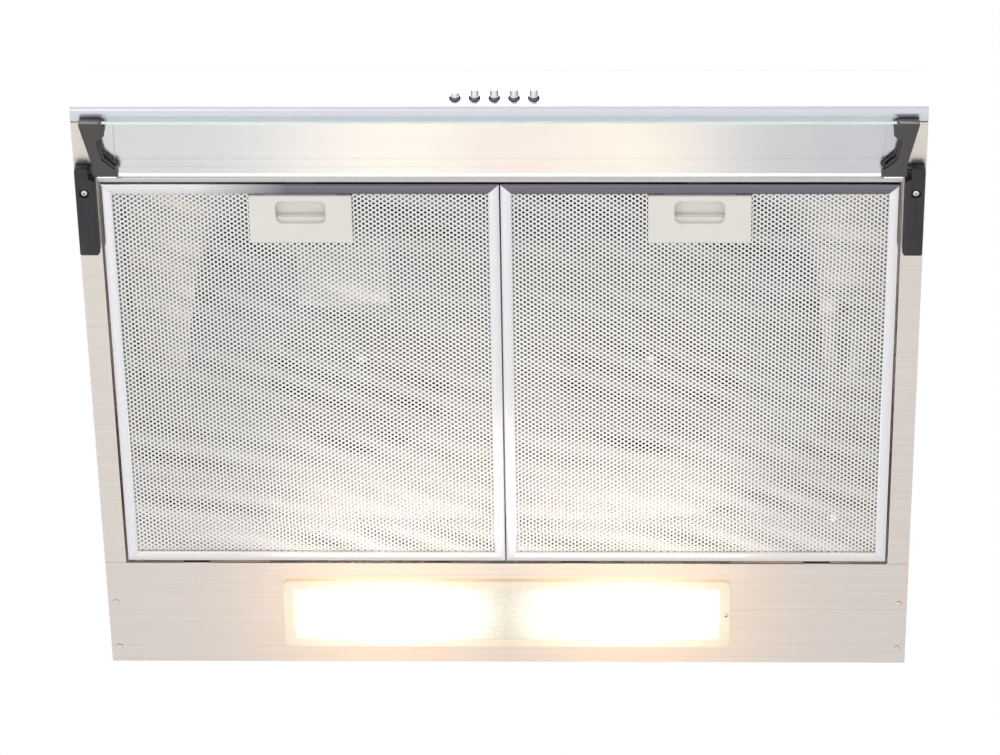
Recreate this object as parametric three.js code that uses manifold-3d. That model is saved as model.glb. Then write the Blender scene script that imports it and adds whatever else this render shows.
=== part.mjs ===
// Under cabinet range hood, 600 mm wide, with a glass visor, two grease filters, two lamps, five
// push buttons and a twin blower.
//
// Millimetres. X runs to the right, Y from the front to the back and Z up. The origin is on the
// flat top face that meets the cabinet, on the hood's centre.

import * as THREE from 'three';
import { mergeVertices } from 'three/addons/utils/BufferGeometryUtils.js';
import Module from 'manifold-3d';

const wasm = await Module();
wasm.setup();

// ---------------------------------------------------------------------------------------------
// Driving dimensions

const WIDTH = 600;
const DEPTH = 500;
const HEIGHT = 135;
const SHEET = 1.2; // thickness of the folded sheet steel
const GAP = 0.3; // kept between neighbouring pieces

const HALF = WIDTH / 2;
const FRONT = -DEPTH / 2;
const REAR = DEPTH / 2;
const BOTTOM = -HEIGHT; // the plane of the underside
const TOP = 0;

/** Y of a place given by its distance behind the front face. */
const behind = (distance) => FRONT + distance;

// Canopy and fascia
const FASCIA_HEIGHT = 50;
const FASCIA_TOP = BOTTOM + FASCIA_HEIGHT;
const SLOPE_END_Y = -130; // where the sloping front of the roof meets its flat part
const LIP_DEPTH = 12; // the fascia's folded underside
const LIP_RADIUS = 5;
const LIP_FLANGE = 6;
const LIP_SEAM = 0.03; // hairline between the lip and the side rails
const RAIL_INNER = 284.2; // half width of the opening between the side rails
const RAIL_RETURN = 15; // height of the fold along each rail

// Front under panel: a pressed recess above the visor and the channel behind it
const RECESS_HALF = 270.5;
const RECESS_RISE = 3;
const RECESS_REAR = behind(58.7);
const CHANNEL_REAR = behind(63.1);

// Filters
const FILTER_FRONT = behind(64.3);
const FILTER_REAR = behind(403.1);
const FILTER_SEAM = 1.2; // gap between the two filters
const FILTER_OUTER = 282.2;
const FILTER_HEIGHT = 9;
const FRAME_FACE = 8.2; // width of the frame members seen from below
const FRAME_WALL = 1.1;

// Filter handle and latch
const HANDLE_WIDTH = 73;
const HANDLE_FRONT = behind(73.5);
const HANDLE_REAR = behind(113.2);
const WINDOW_WIDTH = 35.5;
const WINDOW_FRONT = behind(77.7);
const WINDOW_REAR = behind(97.2);

// Visor
const GLASS_THICKNESS = 4;
const GLASS_HALF = 281;
const GLASS_FRONT = behind(9.6);
const GLASS_REAR = behind(46.5);
const GLASS_TOP = BOTTOM - 1.8;
const PIVOT_Y = behind(50);
const PIVOT_Z = BOTTOM - 4.5;
const ARM_RADIUS = 4.1; // half height of an arm, and the rounding about its pivot
const ARM_OUTER = 286; // half distance over the outer faces of the arms' feet
const BRACKET_RADIUS = 4.3;
const PIN_RADIUS = 2;

// Buttons
const BUTTON_COUNT = 5;
const BUTTON_PITCH = 13.8;
const BUTTONS_X = -2.9; // the row sits slightly to the left of the middle
const BUTTON_Z = BOTTOM + 12.6;
const BUTTON_RADIUS = 3.15;
const BUTTON_PROUD = 8.5;
const BUTTON_LATCHED_IN = 2.5; // the lamp button rests this much further in
const RING_BORE = 3.5;

// Lamps
const LIGHT_PANEL_FRONT = behind(405.2);
const LAMP_Y = behind(452);
const LAMP_X = 90;
const LAMP_Z = BOTTOM + 22;
const BEZEL_SIZE = [335, 62];
const LENS_WINDOW = [320, 48.4];
const NECK_SIZE = [322.6, 53.4];
const LENS_SCREW_X = 164.6;

// Blower
const BLOWER_RADIUS = 128;
const FAN_X = 107;
const FAN_Y = 15;
const BLOWER_FLOOR = -96;
const BLOWER_WALL = 2;
const INLET_RADIUS = 66;
const IMPELLER_RADIUS = 72;

// Duct
const DUCT_Y = 80;
const OUTLET_RADIUS = 57.5;
const FLANGE_RADIUS = 76;
const COLLAR_BORE = 60.6;
const COLLAR_HEIGHT = 42;
const FLAP_Z = 26;

const LEFT = -1;
const RIGHT = 1;
const SIDES = [['left', LEFT], ['right', RIGHT]];

// ---------------------------------------------------------------------------------------------
// Solids

/** A manifold solid from a closed geometry, with its faces turned outwards. */
function toSolid(geometry) {
  geometry.deleteAttribute('normal');
  geometry.deleteAttribute('uv');
  const merged = mergeVertices(geometry);
  const points = merged.attributes.position;
  const index = merged.index.array;
  const corner = (i) => new THREE.Vector3().fromBufferAttribute(points, i);
  const triangles = [];
  let volume = 0;
  for (let i = 0; i < index.length; i += 3) {
    const [a, b, c] = [index[i], index[i + 1], index[i + 2]];
    if (a === b || b === c || c === a) continue;
    triangles.push([a, b, c]);
    volume += corner(a).dot(corner(b).cross(corner(c)));
  }
  const outward = volume > 0 ? triangles : triangles.map(([a, b, c]) => [a, c, b]);
  const mesh = new wasm.Mesh({
    numProp: 3,
    vertProperties: new Float32Array(points.array),
    triVerts: new Uint32Array(outward.flat()),
  });
  return new wasm.Manifold(mesh);
}

function toGeometry(solid) {
  const mesh = solid.getMesh();
  const geometry = new THREE.BufferGeometry();
  geometry.setAttribute('position', new THREE.BufferAttribute(new Float32Array(mesh.vertProperties), 3));
  geometry.setIndex(new THREE.BufferAttribute(new Uint32Array(mesh.triVerts), 1));
  geometry.computeVertexNormals();
  return geometry;
}

const union = (...solids) => solids.reduce((joined, solid) => joined.add(solid));

const cut = (solid, ...tools) => tools.reduce((left, tool) => left.subtract(tool), solid);

function box([x0, x1], [y0, y1], [z0, z1]) {
  const geometry = new THREE.BoxGeometry(Math.abs(x1 - x0), Math.abs(y1 - y0), Math.abs(z1 - z0));
  geometry.translate((x0 + x1) / 2, (y0 + y1) / 2, (z0 + z1) / 2);
  return toSolid(geometry);
}

/**
 * An outline pushed along an axis. The outline's pairs are (y, z) along x, (x, z) along y and
 * (x, y) along z.
 */
function prism(axis, outline, from, to) {
  const pairs = axis === 'y' ? outline.map(([x, z]) => [z, x]) : outline;
  const shape = new THREE.Shape(pairs.map(([a, b]) => new THREE.Vector2(a, b)));
  const geometry = new THREE.ExtrudeGeometry(shape, { depth: to - from, bevelEnabled: false });
  geometry.translate(0, 0, from);
  const [x, y, z] = [new THREE.Vector3(1, 0, 0), new THREE.Vector3(0, 1, 0), new THREE.Vector3(0, 0, 1)];
  const frames = { x: [y, z, x], y: [z, x, y], z: [x, y, z] };
  geometry.applyMatrix4(new THREE.Matrix4().makeBasis(...frames[axis]));
  return toSolid(geometry);
}

/** A profile of (radius, height) pairs turned about an axis through the local origin. */
function revolve(axis, profile, segments) {
  const points = profile.map(([radius, height]) => new THREE.Vector2(radius, height));
  const geometry = new THREE.LatheGeometry(points, segments);
  if (axis === 'z') geometry.rotateX(Math.PI / 2);
  if (axis === 'x') geometry.rotateZ(-Math.PI / 2);
  return toSolid(geometry);
}

/** Points of an arc about (a, b), with angles in degrees. */
function arc(a, b, radius, start, end, steps) {
  return Array.from({ length: steps + 1 }, (_, i) => {
    const angle = THREE.MathUtils.degToRad(start + ((end - start) * i) / steps);
    return [a + radius * Math.cos(angle), b + radius * Math.sin(angle)];
  });
}

const circle = (a, b, radius, steps) => arc(a, b, radius, 0, 360, steps).slice(0, -1);

function roundedRectangle([a0, a1], [b0, b1], radius, steps = 3) {
  return [
    ...arc(a1 - radius, b1 - radius, radius, 0, 90, steps),
    ...arc(a0 + radius, b1 - radius, radius, 90, 180, steps),
    ...arc(a0 + radius, b0 + radius, radius, 180, 270, steps),
    ...arc(a1 - radius, b0 + radius, radius, 270, 360, steps),
  ];
}

/** A long shape with round ends about (-halfLength, b) and (halfLength, b). */
function stadium(halfLength, b, radius, steps) {
  return [
    ...arc(halfLength, b, radius, -90, 90, steps),
    ...arc(-halfLength, b, radius, 90, 270, steps),
  ];
}

/** The outline in its first coordinate's mirror image on the left, and as it is on the right. */
const onSide = (side, outline) => outline.map(([x, y]) => [side * x, y]);

const range = (side, inner, outer) => [side * inner, side * outer].sort((p, q) => p - q);

/**
 * The outline of a folded sheet. The path's corners are (a, b, outer radius), and the sheet's
 * thickness lies to the right of the path.
 */
function foldedSection(path, thickness, steps = 3) {
  const face = [];
  const back = [];
  const corners = path.map(([a, b]) => new THREE.Vector2(a, b));
  const heading = (i) => corners[i + 1].clone().sub(corners[i]).normalize();
  const rightOf = (direction) => new THREE.Vector2(direction.y, -direction.x);
  const put = (point, normal) => {
    face.push([point.x, point.y]);
    back.push([point.x + normal.x * thickness, point.y + normal.y * thickness]);
  };
  put(corners[0], rightOf(heading(0)));
  for (let i = 1; i < corners.length - 1; i += 1) {
    const arriving = heading(i - 1);
    const leaving = heading(i);
    const turn = Math.atan2(arriving.cross(leaving), arriving.dot(leaving));
    const radius = path[i][2];
    const side = turn < 0 ? radius : -radius;
    const start = corners[i].clone().addScaledVector(arriving, -radius * Math.tan(Math.abs(turn) / 2));
    const normal = rightOf(arriving);
    const centre = start.addScaledVector(normal, side);
    for (let k = 0; k <= steps; k += 1) {
      const turned = normal.clone().rotateAround(new THREE.Vector2(), (turn * k) / steps);
      put(centre.clone().addScaledVector(turned, -side), turned);
    }
  }
  put(corners.at(-1), rightOf(heading(corners.length - 2)));
  return [...face, ...back.reverse()];
}

// ---------------------------------------------------------------------------------------------
// Finishes

const finish = (color, roughness, metalness) => () =>
  new THREE.MeshStandardMaterial({ color, roughness, metalness });

const brushedSteel = finish(0xcfccca, 0.34, 0.95);
const galvanised = finish(0xb9bcc0, 0.5, 0.85);
const aluminium = finish(0xd9d5cf, 0.3, 0.95);
const chrome = finish(0xe6e6e8, 0.08, 1);
const steel = finish(0xc4c4c6, 0.25, 1);
const charcoalPlastic = finish(0x46423f, 0.55, 0);
const blackPlastic = finish(0x26262a, 0.5, 0);
const beigePlastic = finish(0xdfdcd5, 0.45, 0);
const whitePlastic = finish(0xf1ece2, 0.35, 0);
const glass = finish(0xcfe9df, 0.05, 0);
const frosted = finish(0xfff1d8, 0.35, 0);
const ceramic = finish(0xece7dd, 0.6, 0);
const paper = finish(0xf4f3ee, 0.8, 0);

const hood = new THREE.Group();

/** Adds one piece to a group under its own name and with its own material. */
function addPiece(parent, name, solid, material, position = [0, 0, 0]) {
  const mesh = new THREE.Mesh(toGeometry(solid), material());
  mesh.name = name;
  mesh.position.set(...position);
  parent.add(mesh);
}

// ---------------------------------------------------------------------------------------------
// Sheet metal

const CABINET_SCREWS = [[-250, -95], [250, -95], [-250, 215], [250, 215]];
const RIVET_X = 293.8;
const RIVET_Y = [behind(442.8), behind(486)];
const RIVET_HOLE = 1.8;
const SCREW_X = 293;
const SCREW_Y = behind(66.5);
const GLAND = { x: -150, y: 198, radius: 8, head: 13 };

function canopyShell() {
  const foot = BOTTOM + SHEET + GAP; // rests above the panels that close the underside
  const slopeStart = behind(11.8);
  const lipTop = BOTTOM + LIP_FLANGE + GAP;
  const railFront = behind(LIP_DEPTH + LIP_SEAM);
  const railRear = LIGHT_PANEL_FRONT - GAP;
  const outside = [
    [behind(SHEET + GAP), lipTop], [railFront, lipTop], [railFront, BOTTOM], [railRear, BOTTOM],
    [railRear, foot], [REAR, foot], [REAR, TOP], [SLOPE_END_Y, TOP], [slopeStart, FASCIA_TOP],
    [slopeStart, FASCIA_TOP - SHEET - GAP], [behind(3), FASCIA_TOP - SHEET - GAP],
    [behind(SHEET + GAP), FASCIA_TOP - 3],
  ];
  const slope = new THREE.Vector2(SLOPE_END_Y - slopeStart, TOP - FASCIA_TOP);
  const run = slope.x / slope.y;
  const inset = SHEET * Math.hypot(1, run); // the slope's thickness measured along Y
  const below = BOTTOM - 10;
  const inside = [
    [FRONT - 10, below], [REAR - SHEET, below], [REAR - SHEET, TOP - SHEET],
    [SLOPE_END_Y + inset - SHEET * run, TOP - SHEET],
    [slopeStart + inset - (SHEET + GAP) * run, FASCIA_TOP - SHEET - GAP],
    [FRONT - 10, FASCIA_TOP - SHEET - GAP],
  ];
  const body = cut(
    prism('x', outside, -HALF, HALF),
    prism('x', inside, -HALF + SHEET, HALF - SHEET),
  );
  const rails = [LEFT, RIGHT].flatMap((side) => [
    box(range(side, RAIL_INNER, HALF), [railFront, railRear], [BOTTOM, BOTTOM + SHEET]),
    box(range(side, RAIL_INNER, RAIL_INNER + SHEET), [railFront, railRear], [BOTTOM, BOTTOM + RAIL_RETURN]),
    box(range(side, RAIL_INNER, HALF), [railRear, REAR - 0.5], [foot, foot + SHEET]),
  ]);
  const holes = [
    prism('z', circle(0, DUCT_Y, FLANGE_RADIUS + 1, 32), -10, 10),
    prism('z', circle(GLAND.x, GLAND.y, GLAND.head + 1, 16), -10, 10),
    ...CABINET_SCREWS.map(([x, y]) => prism('z', circle(x, y, 3, 10), -10, 10)),
  ];
  for (const side of [LEFT, RIGHT]) {
    holes.push(prism('z', circle(side * SCREW_X, SCREW_Y, 1.7, 8), BOTTOM - 1, BOTTOM + 4));
    for (const y of RIVET_Y) {
      holes.push(prism('z', circle(side * RIVET_X, y, RIVET_HOLE, 8), BOTTOM - 1, BOTTOM + 4));
    }
  }
  return cut(union(body, ...rails), ...holes);
}

const buttonX = (i) => BUTTONS_X + (i - (BUTTON_COUNT - 1) / 2) * BUTTON_PITCH;
const buttonIndices = Array.from({ length: BUTTON_COUNT }, (_, i) => i);

function frontFascia() {
  const flangeTop = BOTTOM + LIP_FLANGE;
  const path = [
    [behind(LIP_DEPTH), flangeTop], [behind(LIP_DEPTH), BOTTOM, 1.6], [FRONT, BOTTOM, LIP_RADIUS],
    [FRONT, FASCIA_TOP, 3], [behind(11.5), FASCIA_TOP],
  ];
  const sheet = prism('x', foldedSection(path, SHEET, 5), -HALF, HALF);
  const inner = SHEET / 2; // an end cap reaches half way into the sheet around it
  const capOutline = [
    [behind(LIP_DEPTH - inner), flangeTop], [behind(LIP_DEPTH - inner), BOTTOM + inner],
    ...arc(behind(LIP_RADIUS), BOTTOM + LIP_RADIUS, LIP_RADIUS - inner, 270, 180, 4),
    [behind(inner), flangeTop],
  ];
  const caps = [LEFT, RIGHT].map((side) => prism('x', capOutline, ...range(side, HALF - SHEET, HALF)));
  const holes = buttonIndices.map((i) =>
    prism('y', circle(buttonX(i), BUTTON_Z, RING_BORE + 0.8, 16), FRONT - 5, FRONT + 5),
  );
  return cut(union(sheet, ...caps), ...holes);
}

function frontUnderPanel() {
  const half = RAIL_INNER - GAP;
  const front = behind(LIP_DEPTH + 0.6);
  const recess = BOTTOM + RECESS_RISE;
  const path = [
    [CHANNEL_REAR, BOTTOM + RAIL_RETURN], [CHANNEL_REAR, BOTTOM, 1.5], [RECESS_REAR, BOTTOM, 1.3],
    [RECESS_REAR, recess, 1.3], [front, recess, 1.3], [front, BOTTOM + LIP_FLANGE],
  ];
  const middle = prism('x', foldedSection(path, SHEET), -RECESS_HALF - SHEET / 2, RECESS_HALF + SHEET / 2);
  const endPath = [path[0], path[1], [RECESS_REAR - 1, BOTTOM]];
  const ends = [LEFT, RIGHT].flatMap((side) => [
    prism('x', foldedSection(endPath, SHEET), ...range(side, RECESS_HALF, half)),
    box(range(side, RECESS_HALF, half), [front, RECESS_REAR], [BOTTOM, BOTTOM + SHEET]),
    box(range(side, RECESS_HALF, RECESS_HALF + SHEET), [front, RECESS_REAR], [BOTTOM, recess + SHEET]),
  ]);
  return union(middle, ...ends);
}

function rearLightPanel() {
  const sheet = box([-HALF, HALF], [LIGHT_PANEL_FRONT, REAR], [BOTTOM, BOTTOM + SHEET]);
  const stiffenerY = behind(412);
  const stiffener = box([-RAIL_INNER, RAIL_INNER], [stiffenerY, stiffenerY + SHEET], [BOTTOM, BOTTOM + 10]);
  const [neckX, neckY] = NECK_SIZE.map((size) => size / 2 + GAP);
  const opening = roundedRectangle([-neckX, neckX], [LAMP_Y - neckY, LAMP_Y + neckY], 3);
  const holes = [LEFT, RIGHT].flatMap((side) =>
    RIVET_Y.map((y) => prism('z', circle(side * RIVET_X, y, RIVET_HOLE, 8), BOTTOM - 1, BOTTOM + 4)),
  );
  const screwHole = prism('z', circle(LENS_SCREW_X, LAMP_Y, 1.4, 8), BOTTOM - 1, BOTTOM + 4);
  return cut(union(sheet, stiffener), prism('z', opening, BOTTOM - 1, BOTTOM + 4), ...holes, screwHole);
}

/** A round-headed fastener pointing up from z = 0, which is the underside of its head. */
function fastener(headRadius, headHeight, shankRadius, length, recess) {
  return revolve('z', [
    [0, -headHeight + recess], [headRadius * 0.3, -headHeight + recess],
    [headRadius * 0.42, -headHeight], [headRadius * 0.75, -headHeight * 0.8], [headRadius, 0],
    [shankRadius, 0], [shankRadius, length], [0, length],
  ], 10);
}

addPiece(hood, 'canopy_shell', canopyShell(), brushedSteel);
addPiece(hood, 'front_fascia', frontFascia(), brushedSteel);
addPiece(hood, 'front_under_panel', frontUnderPanel(), brushedSteel);
addPiece(hood, 'rear_light_panel', rearLightPanel(), brushedSteel);
for (const [name, side] of SIDES) {
  RIVET_Y.forEach((y, i) => {
    const rivet = fastener(2.4, 0.9, RIVET_HOLE - GAP, 4, 0.2);
    addPiece(hood, `panel_rivet_${name}_${i + 1}`, rivet, steel, [side * RIVET_X, y, BOTTOM - GAP]);
  });
}

// ---------------------------------------------------------------------------------------------
// Visor: a glass strip in two arms, which turn on pins held in two brackets

/** The side view of a bar with a round end about the pivot; far is its other end. */
function pivotedBar(radius, far, farRadius) {
  const toRear = far > PIVOT_Y;
  const cap = arc(PIVOT_Y, PIVOT_Z, radius, toRear ? 90 : -90, toRear ? 270 : 90, 8);
  const top = PIVOT_Z + radius;
  const bottom = PIVOT_Z - radius;
  const inward = toRear ? -farRadius : farRadius;
  const end = toRear
    ? [...arc(far + inward, bottom + farRadius, farRadius, -90, 0, 3), [far, top]]
    : [...arc(far + inward, top - farRadius, farRadius, 90, 180, 3),
      ...arc(far + inward, bottom + farRadius, farRadius, 180, 270, 3)];
  return [...cap, ...end];
}

function visorArm(side) {
  const front = behind(8);
  const plan = onSide(side, [
    [ARM_OUTER + 6.8, front], [ARM_OUTER + 7.6, front + 1], [ARM_OUTER, behind(42)],
    [ARM_OUTER, behind(56)], [268.3, behind(56)], [268, behind(48.4)], [269.6, behind(45)],
    [277.4, behind(37.4)], [280.4, behind(22.2)], [275.8, behind(17.6)], [275.8, behind(11)],
    [279.4, front],
  ]);
  const low = PIVOT_Z - 10;
  const high = PIVOT_Z + 10;
  const bar = prism('z', plan, low, high)
    .intersect(prism('x', pivotedBar(ARM_RADIUS, front, 2), ...range(side, 250, 310)));
  const slot = box(
    range(side, 240, GLASS_HALF + GAP),
    [GLASS_FRONT - GAP, GLASS_REAR + GAP],
    [GLASS_TOP - GLASS_THICKNESS - GAP, GLASS_TOP + GAP],
  );
  const bore = prism('x', circle(PIVOT_Y, PIVOT_Z, PIN_RADIUS + GAP, 14), ...range(side, 282, ARM_OUTER + 5));
  return cut(bar, slot, bore);
}

function visorBracket(side) {
  const outer = HALF - 1;
  const inner = 285;
  const step = 289.5; // the nose is narrower, so that the pin shows beside the arm's foot
  const nose = PIVOT_Y - BRACKET_RADIUS;
  const rear = behind(119.6);
  const plan = onSide(side, [
    [step, nose], ...arc(outer - 2.5, nose + 2.5, 2.5, 270, 360, 3),
    ...arc(outer - 2, rear - 2, 2, 0, 90, 3), ...arc(inner + 2, rear - 2, 2, 90, 180, 3),
    [inner, PIVOT_Y + 6.5], [step, PIVOT_Y + 4.5],
  ]);
  const bar = prism('z', plan, PIVOT_Z - 10, PIVOT_Z + 10)
    .intersect(prism('x', pivotedBar(BRACKET_RADIUS, rear, 1), ...range(side, 270, 310)));
  const floor = PIVOT_Z - BRACKET_RADIUS;
  return cut(
    bar,
    prism('x', circle(PIVOT_Y, PIVOT_Z, PIN_RADIUS + GAP, 14), ...range(side, 280, 296)),
    prism('z', circle(side * SCREW_X, SCREW_Y, 3.7, 20), floor - 1, floor + 2),
    prism('z', circle(side * SCREW_X, SCREW_Y, 1.7, 8), floor - 1, BOTTOM),
  );
}

function visorGlass() {
  const outline = roundedRectangle([-GLASS_HALF, GLASS_HALF], [GLASS_FRONT, GLASS_REAR], 1.5, 2);
  return prism('z', outline, GLASS_TOP - GLASS_THICKNESS, GLASS_TOP);
}

const visor = new THREE.Group();
hood.add(visor);
addPiece(visor, 'visor_glass', visorGlass(), glass);
for (const [name, side] of SIDES) {
  addPiece(visor, `visor_arm_${name}`, visorArm(side), charcoalPlastic);
  addPiece(hood, `visor_bracket_${name}`, visorBracket(side), blackPlastic);
  const pin = prism('x', circle(0, 0, PIN_RADIUS, 14), ...range(side, 282.4, 295.7));
  addPiece(hood, `visor_pin_${name}`, pin, blackPlastic, [0, PIVOT_Y, PIVOT_Z]);
  const screw = fastener(2.8, 1.5, 1.4, 11, 0.7);
  const seat = PIVOT_Z - BRACKET_RADIUS + 2 - GAP;
  addPiece(hood, `bracket_screw_${name}`, screw, steel, [side * SCREW_X, SCREW_Y, seat]);
}

// ---------------------------------------------------------------------------------------------
// Grease filters, each drawn about its own centre line

const FILTER_WIDTH = FILTER_OUTER - FILTER_SEAM / 2;
const FILTER_X = FILTER_SEAM / 2 + FILTER_WIDTH / 2;
const FILTER_TOP = BOTTOM + FILTER_HEIGHT;
const HOUSING_HALF = 26;
const TONGUE = { half: 10, low: BOTTOM + 3, high: BOTTOM + 5.2 };

const tongueSlot = () =>
  box(
    [-TONGUE.half - 0.4, TONGUE.half + 0.4],
    [FILTER_FRONT - 2, HANDLE_FRONT + 4],
    [TONGUE.low - 0.4, TONGUE.high + 0.4],
  );

function filterFrame() {
  const half = FILTER_WIDTH / 2;
  const outside = box([-half, half], [FILTER_FRONT, FILTER_REAR], [BOTTOM, FILTER_TOP]);
  const opening = box(
    [-half + FRAME_FACE, half - FRAME_FACE],
    [FILTER_FRONT + FRAME_FACE, FILTER_REAR - FRAME_FACE],
    [BOTTOM - 1, FILTER_TOP + 1],
  );
  const groove = box(
    [-half + FRAME_WALL, half - FRAME_WALL],
    [FILTER_FRONT + FRAME_WALL, FILTER_REAR - FRAME_WALL],
    [BOTTOM + FRAME_WALL, FILTER_TOP - FRAME_WALL],
  );
  const tabs = [-90, 90].map((x) =>
    box([x - 10, x + 10], [FILTER_REAR - 0.5, FILTER_REAR + 7], [BOTTOM + 1.6, BOTTOM + 3]),
  );
  return union(cut(outside, opening, groove, tongueSlot()), ...tabs);
}

function filterMesh() {
  const reach = FRAME_WALL + 0.5;
  const half = FILTER_WIDTH / 2 - reach;
  const pad = box(
    [-half, half],
    [FILTER_FRONT + reach, FILTER_REAR - reach],
    [BOTTOM + FRAME_WALL + 0.4, FILTER_TOP - FRAME_WALL - 0.4],
  );
  const cutout = box(
    [-HOUSING_HALF - GAP, HOUSING_HALF + GAP],
    [FILTER_FRONT, HANDLE_REAR - 0.7],
    [BOTTOM, FILTER_TOP],
  );
  return cut(pad, cutout);
}

function filterHandle() {
  const half = HANDLE_WIDTH / 2;
  const plate = prism('z', roundedRectangle([-half, half], [HANDLE_FRONT, HANDLE_REAR], 1.5, 2), BOTTOM - 1.3, BOTTOM + 1);
  const housing = box([-HOUSING_HALF, HOUSING_HALF], [HANDLE_FRONT, HANDLE_REAR - 1], [BOTTOM + 0.5, BOTTOM + 8]);
  const cavity = box([-24, 24], [HANDLE_FRONT + 1.5, HANDLE_REAR - 3.2], [BOTTOM + 1.3, BOTTOM + 6.4]);
  const halfWindow = WINDOW_WIDTH / 2;
  const window = roundedRectangle([-halfWindow, halfWindow], [WINDOW_FRONT, WINDOW_REAR], 5, 4);
  return cut(union(plate, housing), cavity, prism('z', window, BOTTOM - 2, BOTTOM + 2), tongueSlot());
}

function filterLatch() {
  const low = BOTTOM + 1.6;
  const high = BOTTOM + 6;
  const lip = box([-22, 22], [behind(93), behind(104)], [low, high]);
  const arms = [LEFT, RIGHT].map((side) => box(range(side, 18.4, 22), [behind(75.6), behind(93.4)], [low, high]));
  const bar = box([-22, 22], [behind(75.6), behind(77.6)], [low, high]);
  const tongue = box([-TONGUE.half, TONGUE.half], [CHANNEL_REAR + GAP, behind(76)], [TONGUE.low, TONGUE.high]);
  return union(lip, ...arms, bar, tongue);
}

for (const [name, side] of SIDES) {
  const filter = new THREE.Group();
  filter.position.x = side * FILTER_X;
  hood.add(filter);
  addPiece(filter, `filter_frame_${name}`, filterFrame(), aluminium);
  addPiece(filter, `filter_mesh_${name}`, filterMesh(), aluminium);
  addPiece(filter, `filter_handle_${name}`, filterHandle(), beigePlastic);
  addPiece(filter, `filter_latch_${name}`, filterLatch(), beigePlastic);
}

// ---------------------------------------------------------------------------------------------
// Buttons, their rings and the switch bank

function pushButton() {
  const length = BUTTON_PROUD + 12;
  return revolve('y', [
    [0, 0], [BUTTON_RADIUS - 1, 0], [BUTTON_RADIUS - 0.3, 0.3], [BUTTON_RADIUS, 1],
    [BUTTON_RADIUS, length], [0, length],
  ], 16);
}

function buttonRing() {
  return revolve('y', [
    [RING_BORE, -1.6], [RING_BORE + 0.5, -1.6], [RING_BORE + 1, -GAP], [RING_BORE + 0.4, -GAP],
    [RING_BORE + 0.4, 2.2], [RING_BORE, 2.2], [RING_BORE, -1.6],
  ], 14);
}

function switchBank() {
  const half = (BUTTON_COUNT * BUTTON_PITCH) / 2 + 3;
  const front = FRONT + SHEET + 1.4;
  const body = box(
    [BUTTONS_X - half, BUTTONS_X + half],
    [front, behind(26)],
    [BOTTOM + LIP_FLANGE + 0.5, BUTTON_Z + 9],
  );
  const bores = buttonIndices.map((i) =>
    prism('y', circle(buttonX(i), BUTTON_Z, RING_BORE, 12), front - 1, behind(18)),
  );
  return cut(body, ...bores);
}

for (const i of buttonIndices) {
  const tip = FRONT - BUTTON_PROUD + (i === 0 ? BUTTON_LATCHED_IN : 0);
  addPiece(hood, `push_button_${i + 1}`, pushButton(), chrome, [buttonX(i), tip, BUTTON_Z]);
  addPiece(hood, `button_ring_${i + 1}`, buttonRing(), chrome, [buttonX(i), FRONT, BUTTON_Z]);
}
addPiece(hood, 'switch_bank', switchBank(), whitePlastic);

// ---------------------------------------------------------------------------------------------
// Lamps, drawn about the centre of the lens

/** A rounded rectangle of the given size about the lens centre, between two heights. */
function lensBlock([sizeX, sizeY], radius, low, high) {
  return prism('z', roundedRectangle([-sizeX / 2, sizeX / 2], [-sizeY / 2, sizeY / 2], radius), low, high);
}

const smaller = ([sizeX, sizeY], by) => [sizeX - by, sizeY - by];

function lensFrame() {
  const bezel = lensBlock(BEZEL_SIZE, 5, -2.6, -GAP);
  const neck = lensBlock(NECK_SIZE, 3, -1, 3.5);
  const window = lensBlock(LENS_WINDOW, 2, -4, 5);
  const screwHole = prism('z', circle(LENS_SCREW_X, 0, 1.4, 8), -4, 5);
  return cut(union(bezel, neck), window, screwHole);
}

function lampLens() {
  const wall = 2;
  const outside = lensBlock(smaller(LENS_WINDOW, 0.7), 1.7, -2.2, 5.2);
  const flange = lensBlock(NECK_SIZE, 3, 3.8, 5.2);
  const inside = lensBlock(smaller(LENS_WINDOW, 0.7 + 2 * wall), 1, -2.2 + wall, 6);
  return cut(union(outside, flange), inside);
}

function lampTray() {
  const size = [336, 64];
  const top = 42;
  const shell = cut(lensBlock(size, 3, 1.5, top), lensBlock(smaller(size, 2), 2.5, 0, top - 1));
  const flange = cut(lensBlock([352, 72], 3, 1.5, 2.5), lensBlock(smaller(size, 2), 2.5, 0, 4));
  return union(shell, flange);
}

function lampBulb(side) {
  return revolve('x', [
    [0, -42], [6, -38], [11, -30], [15, -16], [16.5, 0], [15.5, 12], [11, 22], [7, 28],
    [7, 50], [3.5, 52], [0, 52],
  ].map(([radius, along]) => [radius, side * along]), 16);
}

function lampHolder(side) {
  const block = box(range(side, 118, 166), [-14, 14], [LAMP_Z - BOTTOM - 13, LAMP_Z - BOTTOM + 13]);
  const bore = prism('x', circle(0, LAMP_Z - BOTTOM, 7.6, 16), ...range(side, 117, 144));
  return cut(block, bore);
}

const lamp = new THREE.Group();
lamp.position.set(0, LAMP_Y, BOTTOM);
hood.add(lamp);
addPiece(lamp, 'lens_frame', lensFrame(), whitePlastic);
addPiece(lamp, 'lamp_lens', lampLens(), frosted);
addPiece(lamp, 'lens_screw', fastener(2, 1.1, 1.1, 6, 0.5), steel, [LENS_SCREW_X, 0, -2.6 - GAP]);
addPiece(lamp, 'lamp_tray', lampTray(), galvanised);
for (const [name, side] of SIDES) {
  addPiece(lamp, `lamp_bulb_${name}`, lampBulb(side), glass, [side * LAMP_X, 0, LAMP_Z - BOTTOM]);
  addPiece(lamp, `lamp_holder_${name}`, lampHolder(side), ceramic);
}

// ---------------------------------------------------------------------------------------------
// Twin blower

const BLOWER_ROOF = -SHEET - 0.4;

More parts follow.
